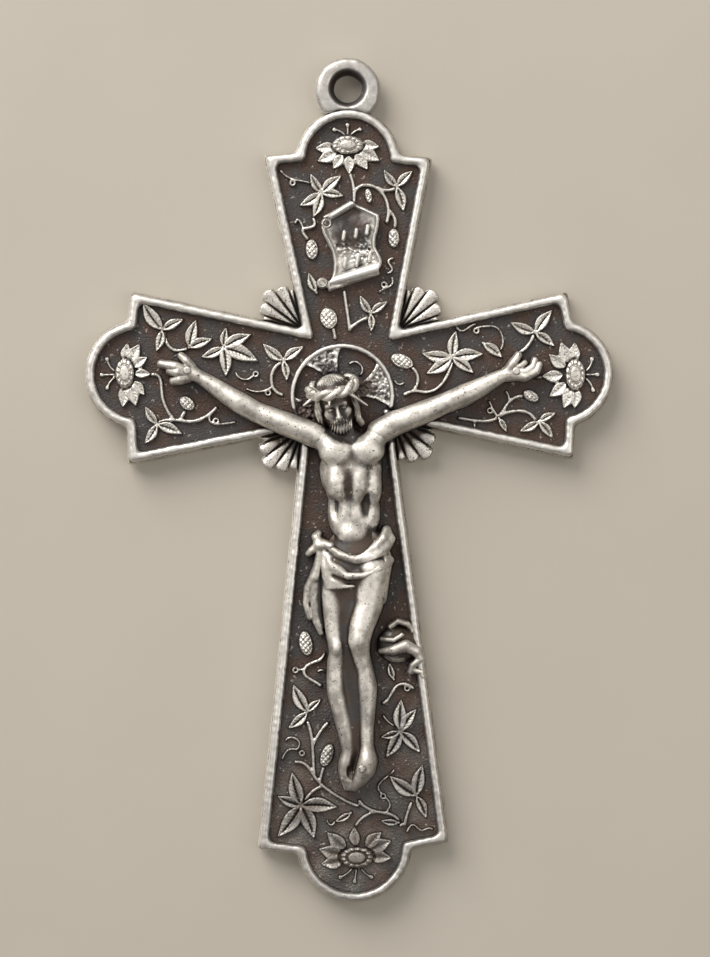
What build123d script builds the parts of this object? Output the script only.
"""Silver pendant crucifix: a bordered cross with passion-flower vines, a nimbus, a scroll and a corpus."""

import os
from math import atan, atan2, cos, degrees, radians, sin

from build123d import *

os.makedirs("parts", exist_ok=True)

# Driving dimensions, in millimetres. X runs across, Z runs up, and the front faces -Y.
# The origin is the middle of the bail's hole, so the flat back lies half a bail behind it.
BAIL_THICKNESS = 2.0
BAIL_RADIUS = 2.95
BAIL_DROP = 0.2
HOLE_RADIUS = 1.25
HOLE_MOUTH_RADIUS = 1.74
HOLE_MOUTH_DEPTH = 0.7

# Heights above the flat back.
FIELD_HEIGHT = 1.2
RIM_HEIGHT = 2.1
VINE_HEIGHT = FIELD_HEIGHT + 0.45
FLOWER_HEART_HEIGHT = FIELD_HEIGHT + 0.6
HALO_HEIGHT = 1.9
SCROLL_HEIGHT = 2.05

RIM_WIDTH = 0.72
RIM_ROUNDING = 0.28
WALL_DRAFT = 0.3
STEM_WIDTH = 0.34
TENDRIL_WIDTH = 0.22
LOOP_RADIUS = 0.33
LOOP_HOLE_RADIUS = 0.12
LEAF_FULLNESS = 0.44
LEAF_BEND = 0.04
LEAF_SIDE = ((0.2, 0.38), (0.45, 0.5), (0.78, 0.26))
PETAL_ROOT = 0.35
PETAL_FULLNESS = 0.6

# Modelled forms: how much of a form's height is upright, and how round its top is.
UPRIGHT_SHARE = 0.25
TOP_ROUNDNESS = 0.9

# The border's outer line at the field: corners of the arms, and the round lobe at each end.
TOP_LEFT = (-7.4, -6.1)
TOP_RIGHT = (7.4, -6.4)
TOP_LOBE = ((-4.5, -5.9), (0.0, -1.97), (4.5, -6.1))
RIGHT_TOP = (19.6, -18.6)
RIGHT_BOTTOM = (20.1, -33.3)
RIGHT_LOBE = ((20.05, -21.25), (23.7, -25.8), (20.2, -30.3))
LEFT_TOP = (-19.5, -18.4)
LEFT_BOTTOM = (-19.8, -33.6)
LEFT_LOBE = ((-19.9, -30.3), (-23.65, -25.6), (-19.8, -21.05))
BASE_LEFT = (-8.2, -68.45)
BASE_RIGHT = (8.65, -67.9)
BASE_LOBE = ((5.3, -68.5), (0.3, -73.2), (-4.7, -68.9))
NOTCHES = {
    "upper_left": (-4.0, -21.8),
    "upper_right": (4.35, -21.9),
    "lower_left": (-4.1, -30.5),
    "lower_right": (3.75, -29.7),
}

FAN_HEIGHT = 1.5
FAN_GROOVE_HEIGHT = 1.0
FAN_HEADINGS = {"upper_left": 135, "upper_right": 45, "lower_left": 225, "lower_right": 315}
FAN_LOBES = ((-31, 3.9), (-16, 4.5), (0, 5.0), (16, 4.5), (31, 3.9))
FAN_LOBE_SPREAD = 8.5
FAN_SCALLOP = 0.94
FAN_RIB_START = 0.5
FAN_RIB_END = 0.96
FAN_RIB_FULLNESS = 0.24

HALO_CENTRE = (-0.6, -27.7)
HALO_RADIUS = 4.7
HALO_RING_WIDTH = 0.42
HALO_ARM_ROOT = 1.2
HALO_WAIST = 2.9
HALO_ARMS = ((116, 25), (15, 30), (205, 24))
HALO_WAIST_SPREAD = 0.7


def level(height):
    """Plane parallel to the back at a height above it, facing the front."""
    return Plane.XZ.offset(height - BAIL_THICKNESS / 2)


def front(height):
    """Y of a height above the flat back."""
    return BAIL_THICKNESS / 2 - height


def polar(centre, radius, angle):
    """Point at a radius and an angle in degrees from a centre."""
    return (centre[0] + radius * cos(radians(angle)), centre[1] + radius * sin(radians(angle)))


def cross_outline():
    """The border's outer line at the field, drawn clockwise from the top lobe."""
    Polyline(TOP_LOBE[2], TOP_RIGHT, NOTCHES["upper_right"], RIGHT_TOP, RIGHT_LOBE[0])
    ThreePointArc(*RIGHT_LOBE)
    Polyline(RIGHT_LOBE[2], RIGHT_BOTTOM, NOTCHES["lower_right"], BASE_RIGHT, BASE_LOBE[0])
    ThreePointArc(*BASE_LOBE)
    Polyline(BASE_LOBE[2], BASE_LEFT, NOTCHES["lower_left"], LEFT_BOTTOM, LEFT_LOBE[0])
    ThreePointArc(*LEFT_LOBE)
    Polyline(LEFT_LOBE[2], LEFT_TOP, NOTCHES["upper_left"], TOP_LEFT, TOP_LOBE[0])
    ThreePointArc(*TOP_LOBE)


def leaf(base, tip, fullness=LEAF_FULLNESS):
    """Pointed leaf from its base to its tip, fullest before the middle and a little bent."""
    along = (tip[0] - base[0], tip[1] - base[1])

    def point(way, out):
        sideways = out * fullness + LEAF_BEND * sin(radians(180 * way))
        x = base[0] + way * along[0] - sideways * along[1]
        z = base[1] + way * along[1] + sideways * along[0]
        return (x, z)

    with BuildLine() as sides:
        Spline(base, *[point(way, out) for way, out in LEAF_SIDE], tip)
        Spline(tip, *[point(way, -out) for way, out in reversed(LEAF_SIDE)], base)
    make_face(sides.edges())


def vine(*points, width=STEM_WIDTH):
    """Stem or tendril of one width along a smooth line through the points."""
    with BuildLine() as path:
        Spline(*points)
    trace(path.edges(), line_width=width)


def cut_away(*solids):
    """Takes earlier solids out of the part being built, so the two meet face to face."""
    for solid in solids:
        add(solid, mode=Mode.SUBTRACT)


def finish(part, name):
    """Names a part and writes it."""
    part.label = name
    export_step(part, "parts/" + name + ".step")


def arched_section(place, half_width, height, heading, base=FIELD_HEIGHT):
    """Slice of a relief body: upright sides on the field and a rounded top, square to a heading."""
    angle = radians(heading)
    rise = height - base
    shoulder = max(UPRIGHT_SHARE * rise, rise - TOP_ROUNDNESS * half_width)
    origin = (place[0], front(base), place[1])
    across = (-sin(angle), 0, cos(angle))
    ahead = (cos(angle), 0, sin(angle))
    with BuildSketch(Plane(origin=origin, x_dir=across, z_dir=ahead)) as section:
        with BuildLine():
            Polyline((half_width, shoulder), (half_width, 0), (-half_width, 0), (-half_width, shoulder))
            ThreePointArc((-half_width, shoulder), (0, rise), (half_width, shoulder))
        make_face()
    return section.sketch


def relief_body(stations, base=FIELD_HEIGHT):
    """Loft through stations of (x, z, half width, height above the back) along their own line."""
    last = len(stations) - 1
    sections = []
    for i, (x, z, half_width, height) in enumerate(stations):
        before = stations[max(i - 1, 0)]
        after = stations[min(i + 1, last)]
        heading = degrees(atan2(after[1] - before[1], after[0] - before[0]))
        sections.append(arched_section((x, z), half_width, height, heading, base))
    loft(sections)


# Plate: the flat-backed field, with drafted walls.
draft_angle = degrees(atan(WALL_DRAFT / RIM_HEIGHT))
rim_foot = WALL_DRAFT * (1 - FIELD_HEIGHT / RIM_HEIGHT)
with BuildPart() as ground_plate:
    with BuildSketch(level(0)):
        with BuildLine():
            cross_outline()
        make_face()
        offset(amount=WALL_DRAFT, kind=Kind.INTERSECTION)
    extrude(amount=FIELD_HEIGHT, taper=draft_angle)
finish(ground_plate.part, "ground_plate")

# Border: a rounded moulding on the plate's edge.
with BuildPart() as border_rim:
    with BuildSketch(level(FIELD_HEIGHT)):
        with BuildLine():
            cross_outline()
        make_face()
        offset(amount=rim_foot, kind=Kind.INTERSECTION)
    extrude(amount=RIM_HEIGHT - FIELD_HEIGHT, taper=draft_angle)
    with BuildSketch(level(FIELD_HEIGHT)):
        with BuildLine():
            cross_outline()
        make_face()
        offset(amount=-RIM_WIDTH, kind=Kind.INTERSECTION)
    extrude(amount=RIM_HEIGHT, mode=Mode.SUBTRACT)
    chamfer(border_rim.faces().sort_by(Axis.Y)[0].edges(), RIM_ROUNDING)
finish(border_rim.part, "border_rim")

# Bail: a fixed eye on the top lobe, its hole countersunk at the front.
with BuildPart() as bail_ring:
    with BuildSketch(level(0)):
        with Locations((0, -BAIL_DROP)):
            Circle(BAIL_RADIUS)
        Circle(HOLE_RADIUS, mode=Mode.SUBTRACT)
    extrude(amount=BAIL_THICKNESS)
    with BuildSketch(level(BAIL_THICKNESS - HOLE_MOUTH_DEPTH)):
        Circle(HOLE_RADIUS)
    with BuildSketch(level(BAIL_THICKNESS)):
        Circle(HOLE_MOUTH_RADIUS)
    loft(mode=Mode.SUBTRACT)
    round_edges = bail_ring.edges().filter_by(GeomType.CIRCLE)
    chamfer(round_edges.filter_by(lambda e: e.radius > HOLE_MOUTH_RADIUS), RIM_ROUNDING)
    cut_away(ground_plate.part, border_rim.part)
    cut_away(bail_ring.solids().sort_by(Axis.Z)[0])
finish(bail_ring.part, "bail_ring")

# Fans: scallop-shell rays that fill the four corners of the crossing.
fans = {}
for corner, heading in FAN_HEADINGS.items():
    notch = NOTCHES[corner]
    with BuildPart() as ray_fan:
        for lobe_angle, reach in FAN_LOBES:
            ray = heading + lobe_angle
            edge_one = polar(notch, reach * FAN_SCALLOP, ray - FAN_LOBE_SPREAD)
            edge_two = polar(notch, reach * FAN_SCALLOP, ray + FAN_LOBE_SPREAD)
            with BuildSketch(level(0)):
                with BuildLine():
                    Polyline(edge_two, notch, edge_one)
                    ThreePointArc(edge_one, polar(notch, reach, ray), edge_two)
                make_face()
            extrude(amount=FAN_GROOVE_HEIGHT)
            rib_root = polar(notch, FAN_RIB_START, ray)
            rib_tip = polar(notch, reach * FAN_RIB_END, ray)
            with BuildSketch(level(FAN_GROOVE_HEIGHT)):
                leaf(rib_root, rib_tip, FAN_RIB_FULLNESS)
            extrude(amount=FAN_HEIGHT - FAN_GROOVE_HEIGHT)
        cut_away(ground_plate.part, border_rim.part)
    fans[corner] = ray_fan.part
    finish(ray_fan.part, "ray_fan_" + corner)

# Nimbus: a ring with flared cross arms, open between them.
with BuildPart() as halo:
    with BuildSketch(level(FIELD_HEIGHT)):
        with Locations(HALO_CENTRE):
            Circle(HALO_RADIUS)
            Circle(HALO_RADIUS - HALO_RING_WIDTH, mode=Mode.SUBTRACT)
        for arm_angle, half_spread in HALO_ARMS:
            rim_radius = HALO_RADIUS - HALO_RING_WIDTH / 2
            root_one = polar(HALO_CENTRE, HALO_ARM_ROOT, arm_angle - half_spread)
            root_two = polar(HALO_CENTRE, HALO_ARM_ROOT, arm_angle + half_spread)
            waist_spread = HALO_WAIST_SPREAD * half_spread
            waist_one = polar(HALO_CENTRE, HALO_WAIST, arm_angle - waist_spread)
            waist_two = polar(HALO_CENTRE, HALO_WAIST, arm_angle + waist_spread)
            corner_one = polar(HALO_CENTRE, rim_radius, arm_angle - half_spread)
            corner_two = polar(HALO_CENTRE, rim_radius, arm_angle + half_spread)
            with BuildLine():
                ThreePointArc(root_one, waist_one, corner_one)
                ThreePointArc(corner_one, polar(HALO_CENTRE, rim_radius, arm_angle), corner_two)
                ThreePointArc(corner_two, waist_two, root_two)
                Line(root_two, root_one)
            make_face()
    extrude(amount=HALO_HEIGHT - FIELD_HEIGHT)
    cut_away(border_rim.part)
finish(halo.part, "halo")

# Nails: domed heads on the palms and on the crossed feet.
NAILS = {"left_hand": (-14.5, -25.4, 3.25), "right_hand": (15.0, -25.6, 3.25), "feet": (1.0, -61.1, 4.35)}
NAIL_SHANK_RADIUS = 0.2
NAIL_HEAD_RADIUS = 0.36
NAIL_HEAD_DEPTH = 0.25
nails = {}
for place, (x, z, height) in NAILS.items():
    with BuildPart() as nail:
        with BuildSketch(level(FIELD_HEIGHT)):
            with Locations((x, z)):
                Circle(NAIL_SHANK_RADIUS)
        extrude(amount=height - FIELD_HEIGHT)
        with BuildSketch(level(height - NAIL_HEAD_DEPTH)):
            with Locations((x, z)):
                Circle(NAIL_HEAD_RADIUS)
        extrude(amount=NAIL_HEAD_DEPTH)
        fillet(nail.edges().sort_by(Axis.Y)[0], NAIL_HEAD_DEPTH / 2)
    nails[place] = nail.part
    finish(nail.part, "nail_" + place)

# Corpus: torso, legs and head on the field, cut where the nimbus stands behind them.
TORSO = (
    (-0.25, -31.2, 2.9, 3.1),
    (0.0, -33.0, 2.9, 4.1),
    (0.15, -34.6, 2.8, 4.5),
    (0.2, -36.5, 2.5, 4.1),
    (0.5, -38.7, 2.4, 3.7),
    (0.7, -40.4, 2.6, 3.9),
    (0.6, -42.5, 3.0, 4.2),
    (0.4, -45.2, 2.8, 4.1),
)
NECK = ((-0.8, -29.5, 1.0, 3.6), (-0.4, -31.5, 1.3, 3.7), (0.0, -33.3, 1.7, 4.0))
LEFT_LEG = (
    (-1.15, -44.6, 1.5, 3.9),
    (-1.15, -47.5, 1.3, 4.1),
    (-0.85, -50.7, 0.98, 4.3),
    (-0.8, -54.0, 1.25, 3.6),
    (-0.4, -57.5, 0.95, 3.3),
    (-0.3, -59.8, 0.72, 3.2),
    (-0.35, -61.6, 0.8, 3.6),
    (-0.15, -63.1, 0.5, 3.1),
)
RIGHT_LEG = (
    (1.9, -44.6, 1.6, 4.3),
    (1.5, -46.8, 1.3, 4.6),
    (0.8, -49.6, 0.98, 4.8),
    (0.95, -51.2, 0.75, 4.3),
    (1.45, -54.0, 0.85, 3.8),
    (1.45, -57.2, 0.65, 3.4),
    (1.3, -59.0, 0.52, 3.4),
    (1.25, -60.8, 0.9, 4.1),
    (0.7, -62.5, 0.65, 3.6),
)
with BuildPart() as corpus_figure:
    relief_body(TORSO)
    relief_body(NECK)
    relief_body(LEFT_LEG)
    relief_body(RIGHT_LEG)
    cut_away(halo.part, nails["feet"])
finish(corpus_figure.part, "corpus_figure")

HEAD_TILT = 13
SKULL_RADII = (1.3, 1.7, 2.4)
SKULL_PLACE = (-1.15, front(3.5), -28.9)
HAIR_RADII = (1.9, 1.2, 2.6)
HAIR_PLACE = (-1.45, front(2.7), -28.2)
skull = scale(Sphere(1), by=SKULL_RADII).rotate(Axis.Y, -HEAD_TILT).moved(Location(SKULL_PLACE))
hair = scale(Sphere(1), by=HAIR_RADII).rotate(Axis.Y, -HEAD_TILT).moved(Location(HAIR_PLACE))
with BuildPart() as corpus_head:
    add(skull)
    add(hair)
    cut_away(halo.part, corpus_figure.part)
finish(corpus_head.part, "corpus_head")

# Arms of the corpus, from the shoulders over the border to the fingertips.
LEFT_ARM = (
    (-2.7, -31.6, 1.1, 3.7),
    (-4.6, -30.6, 0.95, 3.7),
    (-6.5, -29.9, 0.85, 3.5),
    (-8.4, -29.1, 0.85, 3.4),
    (-10.2, -28.1, 0.8, 3.3),
    (-12.0, -26.9, 0.65, 3.1),
    (-13.4, -26.0, 0.5, 3.0),
    (-14.6, -25.4, 0.7, 3.0),
    (-15.7, -25.1, 0.65, 2.9),
    (-16.8, -24.9, 0.35, 2.6),
)
RIGHT_ARM = (
    (2.4, -31.2, 1.1, 3.7),
    (4.0, -30.1, 0.95, 3.7),
    (6.4, -29.4, 0.9, 3.6),
    (8.8, -28.4, 0.85, 3.5),
    (10.6, -27.6, 0.85, 3.4),
    (12.4, -26.7, 0.65, 3.2),
    (13.8, -26.0, 0.5, 3.0),
    (15.0, -25.7, 0.7, 3.0),
    (16.0, -25.3, 0.65, 2.9),
    (17.0, -24.7, 0.4, 2.6),
)
THUMBS = {
    "left": ((-14.7, -25.2, 0.32, 2.8), (-15.2, -24.0, 0.22, 2.6)),
    "right": ((15.1, -25.5, 0.32, 2.8), (15.4, -24.1, 0.22, 2.6)),
}
arms = {}
for side, stations in (("left", LEFT_ARM), ("right", RIGHT_ARM)):
    with BuildPart() as corpus_arm:
        relief_body(stations)
        relief_body(THUMBS[side])
        cut_away(border_rim.part, halo.part, corpus_figure.part, corpus_head.part)
        cut_away(fans["lower_" + side], nails[side + "_hand"])
    arms[side] = corpus_arm.part
    finish(corpus_arm.part, "corpus_arm_" + side)

# Crown of thorns: a wreath over the forehead, with three long thorns.
CROWN = (
    (-3.2, -28.3, 0.3, 3.7),
    (-2.9, -27.1, 0.42, 4.4),
    (-2.0, -26.2, 0.5, 4.9),
    (-0.9, -26.2, 0.5, 4.9),
    (-0.1, -26.9, 0.42, 4.4),
    (0.2, -27.9, 0.3, 3.7),
)
THORNS = (((-2.9, -27.4), 205, 1.5), ((-0.1, -27.4), -28, 1.8), ((-0.4, -26.5), 50, 1.4))
THORN_HEIGHT = 3.4
THORN_TIP_HEIGHT = 3.2
THORN_UNDERSIDE = 2.9
THORN_ROOT_HALF_WIDTH = 0.2
THORN_TIP_HALF_WIDTH = 0.08
with BuildPart() as crown_of_thorns:
    relief_body(CROWN, base=HALO_HEIGHT)
    for root, heading, length in THORNS:
        thick_end = (*root, THORN_ROOT_HALF_WIDTH, THORN_HEIGHT)
        fine_end = (*polar(root, length, heading), THORN_TIP_HALF_WIDTH, THORN_TIP_HEIGHT)
        relief_body((thick_end, fine_end), base=THORN_UNDERSIDE)
    cut_away(corpus_head.part, corpus_figure.part)
finish(crown_of_thorns.part, "crown_of_thorns")

# Loincloth: a wrap around the hips, a knot with a fall of cloth, and a loose flying end.
WRAP = (
    (0.65, -40.1, 2.75, 4.2),
    (0.75, -41.6, 3.15, 4.7),
    (0.75, -43.2, 3.2, 4.8),
    (0.55, -45.0, 3.1, 4.6),
)
KNOT = ((-3.5, -41.9, 0.4, 3.6), (-2.7, -41.0, 0.7, 4.2), (-1.9, -40.7, 0.4, 4.0))
FALL = (
    (-2.7, -41.4, 0.45, 3.6),
    (-3.3, -43.6, 0.75, 3.4),
    (-3.5, -45.6, 0.75, 3.0),
    (-3.3, -47.4, 0.6, 2.8),
    (-2.7, -48.9, 0.3, 2.4),
)
with BuildPart() as loincloth:
    relief_body(WRAP)
    cut_away(corpus_figure.part)
finish(loincloth.part, "loincloth")

with BuildPart() as loincloth_knot:
    relief_body(KNOT)
    relief_body(FALL)
    cut_away(loincloth.part, corpus_figure.part)
finish(loincloth_knot.part, "loincloth_knot")

TAIL_OUTLINE = (
    (2.3, -50.9), (3.0, -49.3), (4.2, -48.0), (5.5, -48.5), (6.3, -50.0),
    (6.7, -51.4), (6.6, -52.9), (5.6, -52.8), (4.9, -51.6), (3.5, -51.7),
)
TAIL_HEIGHT = 2.3
TAIL_FOLD = ((2.9, -50.6, 0.4, 2.8), (4.4, -50.0, 0.7, 3.1), (5.7, -50.5, 0.6, 3.0), (6.2, -52.4, 0.4, 2.7))
with BuildPart() as drapery_tail:
    with BuildSketch(level(FIELD_HEIGHT)):
        with BuildLine():
            Spline(*TAIL_OUTLINE, periodic=True)
        make_face()
    extrude(amount=TAIL_HEIGHT - FIELD_HEIGHT)
    relief_body(TAIL_FOLD)
    cut_away(border_rim.part, corpus_figure.part)
finish(drapery_tail.part, "drapery_tail")

# Scroll: a sheet with its top edge and its foot rolled, and blank raised strokes on it.
SCROLL_TOP = (0.4, -10.25)
SCROLL_SHOULDER = (2.75, -11.4)
SCROLL_FOOT = ((2.7, -16.4), (-1.9, -17.9))
SCROLL_ROLL = ((-2.1, -11.9), (0.4, -10.4))
SCROLL_ROLL_HALF_WIDTH = 0.35
SCROLL_ROLL_HEIGHT = SCROLL_HEIGHT + 0.35
SCROLL_FOOT_HALF_WIDTH = 0.45
SCROLL_FOOT_HEIGHT = SCROLL_HEIGHT + 0.5
SCROLL_CURLS = ((-1.95, -12.2), (-2.35, -17.55))
SCROLL_CURL_RADIUS = 0.52
with BuildPart() as titulus_scroll:
    with BuildSketch(level(FIELD_HEIGHT)):
        with BuildLine():
            Line(SCROLL_TOP, SCROLL_SHOULDER)
            Spline(SCROLL_SHOULDER, (2.65, -12.9), (2.45, -14.2), (3.0, -15.5), SCROLL_FOOT[0])
            Line(*SCROLL_FOOT)
            Spline(SCROLL_FOOT[1], (-1.4, -16.6), (-1.4, -15.2), (-2.0, -13.7), (-2.4, -12.4), SCROLL_ROLL[0])
            Line(SCROLL_ROLL[0], SCROLL_TOP)
        make_face()
        with Locations(*SCROLL_CURLS):
            Circle(SCROLL_CURL_RADIUS)
    extrude(amount=SCROLL_HEIGHT - FIELD_HEIGHT)
    relief_body([(*end, SCROLL_ROLL_HALF_WIDTH, SCROLL_ROLL_HEIGHT) for end in SCROLL_ROLL])
    relief_body([(*end, SCROLL_FOOT_HALF_WIDTH, SCROLL_FOOT_HEIGHT) for end in SCROLL_FOOT])
finish(titulus_scroll.part, "titulus_scroll")

STROKE_WIDTH = 0.4
STROKE_HEIGHT = 0.2
STROKE_TURN = 80
STROKE_ROWS = (((-0.4, -13.3), (0.7, -13.1), (1.7, -12.8)), ((-0.3, -15.7), (0.8, -15.6), (1.9, -15.2)))
STROKE_LENGTH = 1.1
with BuildPart() as titulus_strokes:
    with BuildSketch(level(SCROLL_HEIGHT)):
        for row in STROKE_ROWS:
            with Locations(*row):
                SlotOverall(STROKE_LENGTH, STROKE_WIDTH, rotation=STROKE_TURN)
    extrude(amount=STROKE_HEIGHT)
    cut_away(titulus_scroll.part)
finish(titulus_strokes.part, "titulus_strokes")

IN_FRONT = (
    border_rim.part,
    halo.part,
    corpus_figure.part,
    arms["left"],
    arms["right"],
    titulus_scroll.part,
    loincloth_knot.part,
    drapery_tail.part,
)

# Vine leaves: the heart of each sprig and the tips of its leaves.
SPRIGS = {
    "leaf_top_left": (
        (-2.4, -9.4), ((-3.4, -7.6), (-0.5, -7.8), (-0.3, -9.7), (-4.45, -10.6), (-3.2, -11.7))
    ),
    "leaf_top_right": ((4.4, -8.9), ((3.2, -7.3), (5.9, -7.4), (5.0, -11.2))),
    "leaf_scroll": ((-2.9, -18.4), ((-3.6, -16.5),)),
    "leaf_neck": ((2.0, -20.3), ((1.0, -18.6), (3.6, -19.2), (2.0, -22.0))),
    "leaf_left_upper": ((-16.8, -21.7), ((-18.6, -19.1), (-14.8, -20.7), (-17.4, -23.7))),
    "leaf_left_small": ((-14.4, -23.3), ((-13.7, -20.7), (-12.2, -22.5))),
    "leaf_left_middle": (
        (-11.3, -23.3), ((-11.0, -21.4), (-8.7, -22.1), (-8.1, -24.6), (-11.1, -26.0), (-13.4, -24.2))
    ),
    "leaf_left_inner": ((-5.9, -24.5), ((-7.8, -22.9), (-4.0, -23.2), (-5.6, -26.4))),
    "leaf_left_lower": ((-17.3, -30.2), ((-18.4, -28.5), (-18.5, -32.0), (-15.0, -31.1))),
    "leaf_right_upper": ((16.8, -22.1), ((14.5, -21.1), (18.4, -20.0), (18.6, -23.4))),
    "leaf_right_small": ((12.1, -23.0), ((13.9, -24.4),)),
    "leaf_right_middle": (
        (9.3, -24.3), ((9.7, -21.8), (6.5, -23.9), (12.2, -24.0), (6.9, -25.8), (11.3, -25.8))
    ),
    "leaf_right_lower": ((17.1, -30.1), ((18.7, -29.3), (15.3, -31.0), (18.4, -31.7))),
    "leaf_right_twig": ((13.5, -29.8), ((14.2, -31.1),)),
    "leaf_shaft_twig": ((3.9, -53.3), ((3.5, -51.7),)),
    "leaf_shaft_left": ((-3.9, -56.2), ((-5.2, -53.6), (-2.6, -55.0), (-5.7, -57.7))),
    "leaf_shaft_right": (
        (4.5, -58.0), ((4.6, -55.0), (6.0, -55.9), (6.3, -60.0), (3.1, -60.4), (2.6, -58.5))
    ),
    "leaf_base_left": (
        (-4.5, -64.6), ((-5.3, -61.5), (-6.7, -63.7), (-6.7, -67.5), (-3.3, -67.7), (-1.1, -64.8))
    ),
    "leaf_base_right": ((5.9, -63.8), ((3.4, -61.9), (6.5, -60.9), (6.8, -65.9))),
    "leaf_base_curl": ((0.0, -65.3), ((-1.5, -66.1),)),
    "leaf_base_inner": ((4.3, -66.2), ((2.6, -66.0),)),
}
sprigs = {}
for name, (heart, tips) in SPRIGS.items():
    with BuildPart() as sprig:
        with BuildSketch(level(FIELD_HEIGHT)):
            with Locations(heart):
                Circle(STEM_WIDTH / 2)
            for tip in tips:
                leaf(heart, tip)
        extrude(amount=VINE_HEIGHT - FIELD_HEIGHT)
        cut_away(*IN_FRONT)
    sprigs[name] = sprig.part
    finish(sprig.part, name)

# Passion flowers: petals around an oval heart, with stamens and a small cross of styles.
FLOWERS = {
    "top": {
        "heart": (0.0, -5.1),
        "oval": (1.4, 0.85),
        "petals": (
            (-3.0, -5.4), (-2.8, -6.6), (-1.4, -7.3), (0.1, -7.8),
            (1.8, -7.4), (2.9, -6.6), (2.9, -5.3),
        ),
        "stamens": (((-0.6, -3.9), (-1.2, -3.7)), ((0.0, -4.0), (0.0, -3.3)), ((0.6, -3.9), (1.1, -3.7))),
    },
    "left": {
        "heart": (-20.2, -25.6),
        "oval": (0.85, 1.35),
        "petals": (
            (-19.9, -22.8), (-18.8, -22.9), (-18.1, -24.1), (-17.8, -25.7),
            (-18.4, -27.6), (-19.2, -28.6), (-20.4, -28.7),
        ),
        "stamens": (
            ((-21.5, -25.0), (-21.8, -24.3)),
            ((-21.5, -25.7), (-22.3, -25.7)),
            ((-21.5, -26.3), (-21.8, -26.9)),
        ),
    },
    "right": {
        "heart": (20.4, -25.9),
        "oval": (0.9, 1.4),
        "petals": (
            (20.4, -22.9), (19.1, -22.9), (18.0, -24.0), (17.3, -26.0),
            (18.0, -27.9), (19.3, -29.0), (20.3, -29.0),
        ),
        "stamens": (
            ((21.7, -25.2), (21.9, -24.5)),
            ((21.6, -25.9), (22.4, -25.9)),
            ((21.7, -26.6), (22.0, -27.3)),
        ),
    },
    "bottom": {
        "heart": (0.5, -69.3),
        "oval": (1.5, 0.95),
        "petals": (
            (-2.8, -69.9), (-3.0, -68.5), (-2.2, -67.0), (0.3, -66.5),
            (2.8, -67.0), (3.7, -67.8), (3.7, -69.4),
        ),
        "stamens": (
            ((-0.3, -70.7), (-1.0, -71.1)),
            ((0.4, -70.8), (0.3, -71.5)),
            ((1.2, -70.7), (1.8, -71.1)),
        ),
    },
}
flowers = []
for place, flower in FLOWERS.items():
    heart = flower["heart"]
    with BuildPart() as passion_flower:
        with BuildSketch(level(FIELD_HEIGHT)):
            for tip in flower["petals"]:
                root = (
                    heart[0] + PETAL_ROOT * (tip[0] - heart[0]),
                    heart[1] + PETAL_ROOT * (tip[1] - heart[1]),
                )
                leaf(root, tip, PETAL_FULLNESS)
            for knee, tip in flower["stamens"]:
                vine(heart, knee, tip, width=TENDRIL_WIDTH)
                with Locations(tip):
                    Circle(TENDRIL_WIDTH)
        extrude(amount=VINE_HEIGHT - FIELD_HEIGHT)
        with BuildSketch(level(FIELD_HEIGHT)):
            with Locations(heart):
                Ellipse(*flower["oval"])
        extrude(amount=FLOWER_HEART_HEIGHT - FIELD_HEIGHT)
        cut_away(border_rim.part)
    flowers.append(passion_flower.part)
    finish(passion_flower.part, "passion_flower_" + place)

# Buds: egg shapes of (x, z, half width, half length, turn), grouped by arm.
BUDS = {
    "top": (
        (-3.3, -14.5, 0.6, 0.95, 0), (1.85, -9.7, 0.35, 0.7, 10), (4.1, -13.5, 0.55, 0.9, 0),
        (-1.8, -20.7, 0.8, 1.0, 15),
    ),
    "left": ((-14.6, -28.3, 0.6, 0.8, 50),),
    "right": ((4.8, -24.6, 0.65, 1.1, 70), (16.4, -27.8, 0.5, 0.8, 60)),
    "shaft": ((-4.0, -50.0, 0.65, 1.15, 10), (-2.15, -60.1, 0.6, 1.1, -20)),
}
buds = []
for place, eggs in BUDS.items():
    with BuildPart() as vine_buds:
        with BuildSketch(level(FIELD_HEIGHT)):
            for x, z, half_width, half_length, turn in eggs:
                with Locations((x, z)):
                    Ellipse(half_width, half_length, rotation=turn)
        extrude(amount=VINE_HEIGHT - FIELD_HEIGHT)
        cut_away(*IN_FRONT)
    buds.append(vine_buds.part)
    finish(vine_buds.part, "vine_buds_" + place)

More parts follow.
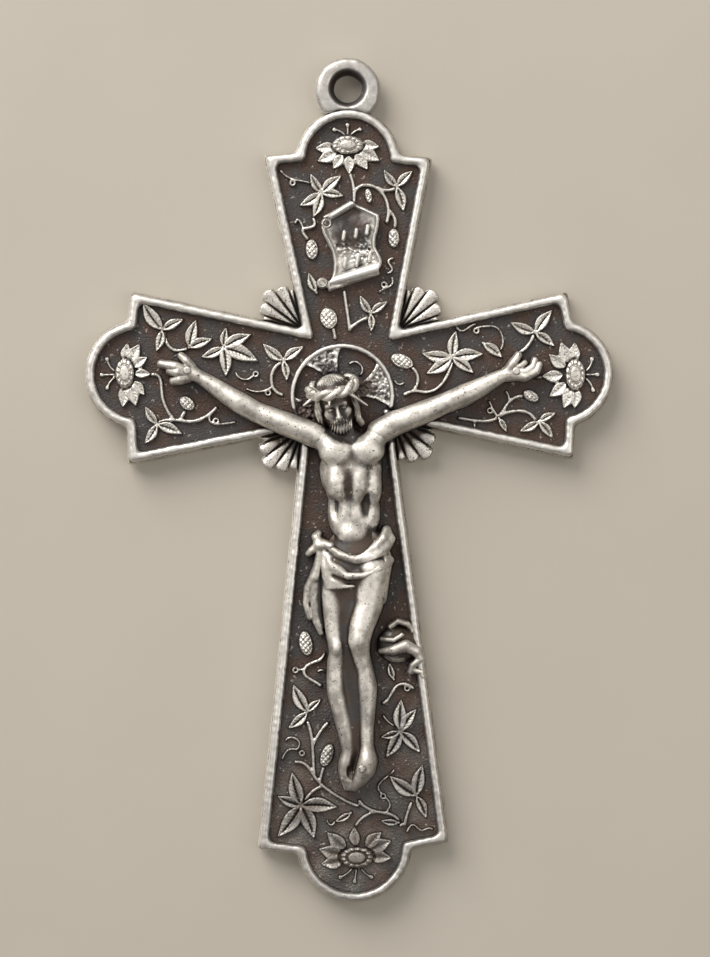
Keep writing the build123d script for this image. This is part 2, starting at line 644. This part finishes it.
# Stems of each arm, then its finer tendrils and their loops, behind leaves, buds and flowers.
STEMS = {
    "top": (
        ((0.1, -7.5), (0.5, -8.9), (0.5, -10.4)),
        ((0.5, -9.5), (1.5, -8.7), (2.6, -9.0), (3.6, -10.7), (3.4, -12.2)),
        ((3.6, -10.9), (4.2, -11.8), (4.1, -12.8)),
        ((2.6, -8.9), (3.4, -9.2), (4.3, -9.0)),
        ((-3.2, -11.6), (-3.3, -12.5), (-3.9, -12.6), (-3.6, -13.6)),
        ((-0.4, -18.2), (-0.2, -19.6), (0.1, -21.9)),
        ((0.1, -21.7), (0.8, -21.1), (1.9, -20.6)),
        ((-1.4, -21.6), (-1.2, -22.6)),
    ),
    "left": (
        ((-17.9, -25.7), (-17.1, -25.9), (-16.9, -27.0), (-16.5, -28.7), (-15.9, -29.6)),
        ((-17.2, -30.1), (-15.7, -29.8), (-13.9, -29.9), (-12.9, -29.5), (-11.9, -28.6)),
        ((-15.2, -29.7), (-14.8, -29.0)),
        ((-16.7, -21.9), (-15.7, -23.5), (-14.4, -23.3)),
        ((-5.9, -24.6), (-7.0, -26.0), (-6.8, -27.0), (-5.9, -27.6)),
    ),
    "right": (
        ((5.5, -25.0), (6.2, -26.0), (5.8, -27.3)),
        ((9.3, -24.5), (9.0, -25.6), (7.2, -27.4), (6.0, -27.3), (4.9, -27.7)),
        ((16.7, -22.2), (15.8, -23.6), (14.9, -24.1)),
        ((9.8, -29.7), (11.5, -30.0), (13.4, -29.7), (14.2, -28.6), (15.7, -27.8)),
        ((13.4, -29.7), (14.6, -29.2), (16.3, -29.4), (16.8, -30.0)),
        ((17.6, -26.0), (17.2, -26.1), (16.7, -26.1)),
    ),
    "shaft": (
        ((-5.1, -60.7), (-4.1, -60.9), (-3.2, -62.1), (-1.8, -63.4), (0.7, -64.7)),
        ((0.7, -64.1), (1.2, -64.7), (2.3, -65.2), (3.7, -65.5), (4.5, -66.6)),
        ((-3.3, -61.8), (-3.4, -60.2), (-3.5, -58.7), (-3.9, -57.0)),
        ((-3.4, -59.2), (-2.7, -57.9), (-2.0, -57.1)),
        ((-2.8, -62.4), (-2.6, -61.6), (-2.4, -61.0)),
        ((-4.2, -64.3), (-3.4, -63.3), (-2.7, -62.9)),
        ((2.3, -65.2), (1.4, -65.5), (0.4, -66.5)),
        ((4.8, -66.5), (5.1, -65.3), (5.5, -64.3)),
        ((-2.3, -50.8), (-3.0, -51.6), (-4.0, -52.1), (-4.2, -52.5), (-3.5, -53.3), (-2.6, -53.9)),
        ((2.8, -55.5), (3.6, -54.7), (4.3, -53.8), (5.0, -53.7), (5.7, -54.2)),
    ),
}
TENDRILS = {
    "top": (
        ((-3.4, -8.5), (-4.3, -8.3), (-5.1, -8.1), (-6.1, -7.3)),
        ((-4.8, -12.2), (-4.6, -11.8), (-4.1, -12.5)),
        ((4.1, -15.3), (3.6, -15.7), (3.9, -16.2), (3.4, -16.7)),
        ((3.9, -17.0), (3.8, -17.8), (3.2, -18.1), (2.7, -18.4)),
        ((0.0, -24.9), (0.8, -24.7), (1.2, -25.2), (0.9, -25.9)),
    ),
    "left": (
        ((-10.2, -25.5), (-9.9, -26.0), (-9.3, -26.2), (-8.7, -25.9)),
        ((-9.3, -27.0), (-8.2, -27.3), (-7.0, -26.9)),
        ((-12.5, -29.3), (-12.5, -30.0), (-11.8, -30.2), (-10.2, -30.0)),
    ),
    "right": (
        ((9.7, -21.5), (10.3, -21.9), (10.8, -21.6), (11.5, -21.3)),
        ((11.5, -21.6), (12.3, -21.5), (13.3, -21.6), (13.9, -22.9), (13.6, -23.7)),
        ((13.3, -29.6), (12.9, -28.8), (12.6, -28.2)),
        ((14.3, -28.5), (14.4, -27.9), (14.1, -27.3)),
        ((11.3, -30.0), (11.3, -30.7)),
        ((4.1, -26.3), (4.6, -26.7), (5.0, -26.5)),
    ),
    "shaft": (
        ((-6.2, -60.5), (-5.3, -59.5), (-4.8, -59.6)),
        ((-5.9, -58.8), (-5.1, -58.5), (-4.7, -58.8), (-4.8, -59.5)),
        ((2.9, -65.4), (3.5, -64.5), (3.1, -63.9)),
        ((2.8, -63.6), (2.5, -62.8), (3.2, -62.1), (3.9, -61.4)),
        ((5.0, -67.1), (5.8, -66.5), (6.3, -66.9), (7.0, -66.7), (7.4, -66.9)),
        ((-1.4, -66.0), (-1.8, -66.4), (-2.2, -65.9)),
        ((-3.0, -52.6), (-2.6, -52.4), (-2.2, -52.6)),
        ((2.9, -56.5), (3.4, -57.1), (4.0, -57.5)),
        ((-4.2, -52.3), (-4.7, -52.4)),
    ),
}
LOOPS = {
    "top": ((-5.0, -8.5), (3.2, -17.7)),
    "left": ((-8.4, -25.7), (-12.0, -29.9), (-7.3, -27.4)),
    "right": ((11.5, -21.9), (12.7, -29.1)),
    "shaft": ((-4.4, -59.9), (2.9, -63.8), (-4.95, -52.4), (5.1, -54.1)),
}
for place, lines in STEMS.items():
    with BuildPart() as vine_stems:
        with BuildSketch(level(FIELD_HEIGHT)):
            for points in lines:
                vine(*points)
            for points in TENDRILS[place]:
                vine(*points, width=TENDRIL_WIDTH)
            with Locations(*LOOPS[place]):
                Circle(LOOP_RADIUS)
            with Locations(*LOOPS[place]):
                Circle(LOOP_HOLE_RADIUS, mode=Mode.SUBTRACT)
        extrude(amount=VINE_HEIGHT - FIELD_HEIGHT)
        cut_away(*IN_FRONT, *sprigs.values(), *buds, *flowers)
    finish(vine_stems.part, "vine_stems_" + place)
